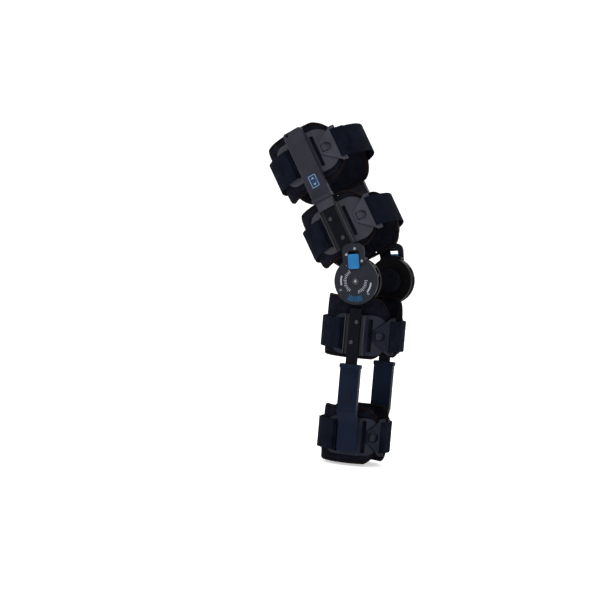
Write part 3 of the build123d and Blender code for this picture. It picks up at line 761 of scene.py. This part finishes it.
# ---- prints on the dial and the button ----
def printed_shape(name, limb, out, side, polygons, material, body, height=0.15):
    """Thin raised shapes on a face that looks outwards; each polygon is a list of (forward, up) corners."""
    points, faces = [], []
    for polygon in polygons:
        base, count = len(points), len(polygon)
        for lift in (0.0, height):
            points += [at(limb, x, out + lift, z, side) for x, z in polygon]
        faces.append(tuple(range(base, base + count))[::-1])
        faces.append(tuple(range(base + count, base + 2 * count)))
        for k in range(count):
            nxt = (k + 1) % count
            faces.append((base + k, base + nxt, base + count + nxt, base + count + k))
    obj = piece(name, points, faces, material)
    obj.data.shade_flat()
    return place(obj, body)


def ring_part(start, end, inner, outer, steps=8):
    turns = [radians(start + (end - start) * n / steps) for n in range(steps + 1)]
    return ([(outer * cos(t), outer * sin(t)) for t in turns]
            + [(inner * cos(t), inner * sin(t)) for t in turns[::-1]])


def tick(angle, inner, outer, width):
    direction = Vector((cos(radians(angle)), sin(radians(angle))))
    aside = Vector((-direction.y, direction.x)) * (width / 2)
    return [tuple(direction * inner - aside), tuple(direction * outer - aside),
            tuple(direction * outer + aside), tuple(direction * inner + aside)]


def numeral(name, text, angle, radius, side):
    """A number of the dial's scale, upright on the face."""
    curve = bpy.data.curves.new(name, "FONT")
    curve.body = text
    curve.size = 4.4 * MM
    curve.align_x = curve.align_y = "CENTER"
    curve.extrude = 0.06 * MM
    obj = bpy.data.objects.new(name, curve)
    scene.collection.objects.link(obj)
    bpy.context.view_layer.update()
    mesh = bpy.data.meshes.new_from_object(obj.evaluated_get(bpy.context.evaluated_depsgraph_get()))
    bpy.data.objects.remove(obj)
    final = bpy.data.objects.new(name, mesh)
    scene.collection.objects.link(final)
    centre = at("calf", radius * cos(radians(angle)), DIAL_TOP + 0.08, radius * sin(radians(angle)), side)
    right = Vector((1, 0, 0)) * side
    rotation = Matrix((right, Vector((0, 0, 1)), right.cross(Vector((0, 0, 1))))).transposed()
    mesh.transform(Matrix.Translation(centre) @ rotation.to_4x4())
    mesh.materials.clear()
    mesh.materials.append(WHITE_INK)
    return place(final, "calf")


def tick_row(start, step, count, inner, short, long):
    """Ticks at even angles; every third one is longer."""
    return [tick(start + step * n, inner, short if n % 3 else long, TICK_WIDTH) for n in range(count)]


def bar_shape(x, height, width, tall):
    """Corners of a rectangle round its middle."""
    return [(x - width / 2, height - tall / 2), (x + width / 2, height - tall / 2),
            (x + width / 2, height + tall / 2), (x - width / 2, height + tall / 2)]


def framed_arrows(x, height):
    """Thin frame with an arrowhead up and one down inside it, as polygons round a button's middle."""
    half_w, half_h = BUTTON_FRAME[0] / 2, BUTTON_FRAME[1] / 2
    shapes = []
    for way in (1, -1):
        shapes.append(bar_shape(x, height + way * half_h, BUTTON_FRAME[0], FRAME_LINE))
    for way in (1, -1):
        shapes.append(bar_shape(x + way * half_w, height, FRAME_LINE, BUTTON_FRAME[1]))
    for way in (1, -1):
        tip = height + way * ARROW_TIP
        shapes.append([(x - ARROW_HALF, tip - way * ARROW_RISE), (x + ARROW_HALF, tip - way * ARROW_RISE),
                       (x, tip)])
    return shapes


# degrees and millimetres, round the dial's middle
TICK_WIDTH = 1.0
# first angle, step, count, inner radius, outer radius of a short and of a long tick
TICK_ROWS = ((130, 8.5, 14, 16.2, 20.6, 21.8), (8, -8.5, 10, 15.6, 20.0, 21.2))
SCALE_BARS = ((166, 200, 24.6, 27.4), (-36, 0, 25.6, 28.4))          # from, to, inner and outer radius
BLUE_BARS = ((249, 268), (270, 276), (278, 298))
BLUE_RADII = (24.5, 34)
NUMBERS = (("0", 128), ("60", 214), ("90", 322))
NUMBER_RADIUS = 30.5
BUTTON_AT = (9, 179.5)
BUTTON_OUT = 89.6
BUTTON_FRAME = (12.6, 20.0)
FRAME_LINE = 0.7
ARROW_TIP, ARROW_RISE, ARROW_HALF = 7, 3, 2.8

for side_name, side in SIDES:
    white = [mark for row in TICK_ROWS for mark in tick_row(*row)]
    white += [ring_part(*bar) for bar in SCALE_BARS]
    printed_shape(f"{side_name}_dial_scale", "calf", DIAL_TOP, side, white, WHITE_INK, "calf")
    printed_shape(f"{side_name}_dial_mark", "calf", DIAL_TOP, side,
                  [ring_part(*span, *BLUE_RADII) for span in BLUE_BARS], BLUE_INK, "calf")
    for text, angle in NUMBERS:
        numeral(f"{side_name}_dial_number_{text}", text, angle, NUMBER_RADIUS, side)
    printed_shape(f"{side_name}_button_print", "thigh", BUTTON_OUT, side, framed_arrows(*BUTTON_AT),
                  WHITE_INK, f"{side_name}_thigh_button")


# ---- the bar's channel on the two cuffs next to the knee, and the hub ----
def block(limb, x, height, out, size, side):
    """Corner points and faces of a small bar with chamfered top edges: size is (forward, up, outwards)."""
    half_x, half_z, rise = size[0] / 2, size[1] / 2, size[2]
    bevel = min(half_x, rise) * 0.45
    outline_points = [(-half_x, 0), (-half_x, rise - bevel), (-half_x + bevel, rise), (half_x - bevel, rise),
                      (half_x, rise - bevel), (half_x, 0)]
    rings = [[at(limb, x + px, out + py, height + z, side) for px, py in outline_points]
             for z in (-half_z, -half_z * 0.33, half_z * 0.33, half_z)]
    return swept(rings)


# (cuff, face of the channel's floor, height of the channel)
CHANNELS = ((LEVELS[1], 81.8, 74.0), (LEVELS[2], 70.5, 67.0))
RAIL_HEIGHT = 2.4            # the channel's side walls stand this far above its floor
# place, width and shortening of the lighter strips that paint the highlight on the side walls' tops
RAIL_AT, RAIL_WIDTH, RAIL_SHORTER = 17.2, 1.3, 4
LINER_AT, LINER_WIDTH, LINER_SHORTER = 13.4, 5.6, 3
STRIP_RISE = 0.5

for level, floor_out, height in CHANNELS:
    for side_name, side in SIDES:
        for place_name, way in (("front", 1), ("rear", -1)):
            # a lighter strip on top of each side wall paints the highlight along its edge
            rail = piece(f"{side_name}_{level.name}_{place_name}_rail",
                         *block(level.limb, level.bar_x + way * RAIL_AT, level.middle,
                                floor_out + RAIL_HEIGHT,
                                (RAIL_WIDTH, height - RAIL_SHORTER, STRIP_RISE), side), RAIL_PAINTED_HIGHLIGHT)
            rail.data.shade_flat()
            place(rail, level.body)
            liner = piece(f"{side_name}_{level.name}_{place_name}_liner",
                          *block(level.limb, level.bar_x + way * LINER_AT, level.middle, floor_out,
                                 (LINER_WIDTH, height - LINER_SHORTER, STRIP_RISE), side), CHANNEL)
            liner.data.shade_flat()
            place(liner, level.body)


def dome(centre_out, radius, rise, side):
    rings = []
    for n in range(6):
        theta = pi / 2 * n / 5.5
        rings.append([at("calf", radius * cos(theta) * cos(2 * pi * k / 24), centre_out + rise * sin(theta),
                         radius * cos(theta) * sin(2 * pi * k / 24), side) for k in range(24)])
    return swept(rings)


for side_name, side in SIDES:
    hub = piece(f"{side_name}_hub_cap", *dome(DIAL_TOP + 1.6, 2.3, 0.6, side), SCREW_STEEL)
    place(hub, "calf")


# ---- stage ----
def stage_mesh(name, points, faces, material):
    obj = piece(name, points, faces, material)
    return obj


floor_nodes = Nodes("studio_floor")
floor_coords = floor_nodes.add("ShaderNodeTexCoord").outputs["Object"]
floor_cloud = floor_nodes.add("ShaderNodeTexNoise", {"Vector": floor_coords}, Scale=3.0).outputs["Fac"]
floor_tone = floor_nodes.ramp(floor_cloud, (0.95, 0.95, 0.955), (0.97, 0.97, 0.972), 0.3, 0.7)
floor_nodes.link(floor_tone, "Base Color")
floor_nodes.set(Roughness=0.9, Emission_Strength=0.42)
floor_nodes.shader.inputs["Emission Color"].default_value = (1, 1, 1, 1)
floor_z = cad_box[0][2] - 0.004
wall_at, wall_top, bend, floor_reach = 7.0, 9.0, 1.5, 30.0
sweep = [(-floor_reach, floor_z), (wall_at, floor_z)]
sweep += [(wall_at + bend * sin(radians(a)), floor_z + bend - bend * cos(radians(a)))
          for a in range(10, 91, 10)]
sweep += [(wall_at + bend, wall_top)]
azimuth, elevation, roll = radians(23.59), radians(3.04), radians(-4.9)
depth = Vector((-sin(azimuth), cos(azimuth), 0))
aside = Vector((cos(azimuth), sin(azimuth), 0))
backdrop = [depth * d + aside * w + Vector((0, 0, z))
            for d, z in sweep for w in (-floor_reach, floor_reach)]
stage_mesh("studio_floor", backdrop,
           [(2 * k, 2 * k + 1, 2 * k + 3, 2 * k + 2) for k in range(len(sweep) - 1)], floor_nodes.material)


def area_light(name, location, energy, size):
    """White light that faces the middle of the object."""
    data = bpy.data.lights.new(name, "AREA")
    data.energy = energy
    data.size = size
    obj = bpy.data.objects.new(name, data)
    obj.location = location
    obj.rotation_euler = (Vector((0, 0, 0)) - Vector(location)).to_track_quat("-Z", "Y").to_euler()
    scene.collection.objects.link(obj)


area_light("key", (-0.9, -2.6, 2.4), 62, 1.6)
area_light("fill", (2.6, -1.6, 1.0), 22, 2.0)
area_light("rim", (0.6, 2.4, 2.2), 34, 1.6)
world = bpy.data.worlds.new("studio")
world.use_nodes = True
world.node_tree.nodes["Background"].inputs["Color"].default_value = (1, 1, 1, 1)
world.node_tree.nodes["Background"].inputs["Strength"].default_value = 0.6
scene.world = world
scene.view_settings.view_transform = "Standard"

# camera: looks at the outer side from slightly in front, a little tilted
CAMERA_DISTANCE, LEFT_OF_KNEE, BELOW_KNEE = 4.816, 0.125, 0.032          # metres
towards = Vector((sin(azimuth) * cos(elevation), -cos(azimuth) * cos(elevation), sin(elevation)))
upright = towards.cross(aside)
camera_x = aside * cos(roll) - upright * sin(roll)
camera_y = aside * sin(roll) + upright * cos(roll)
camera_data = bpy.data.cameras.new("camera")
camera_data.lens = 173.6
camera_data.sensor_width = 36.0
camera = bpy.data.objects.new("camera", camera_data)
place_at = towards * CAMERA_DISTANCE - camera_x * LEFT_OF_KNEE - camera_y * BELOW_KNEE
turned = Matrix((camera_x, camera_y, towards)).transposed().to_4x4()
camera.matrix_world = Matrix.Translation(place_at) @ turned
camera_data.clip_end = 80
scene.collection.objects.link(camera)
scene.camera = camera
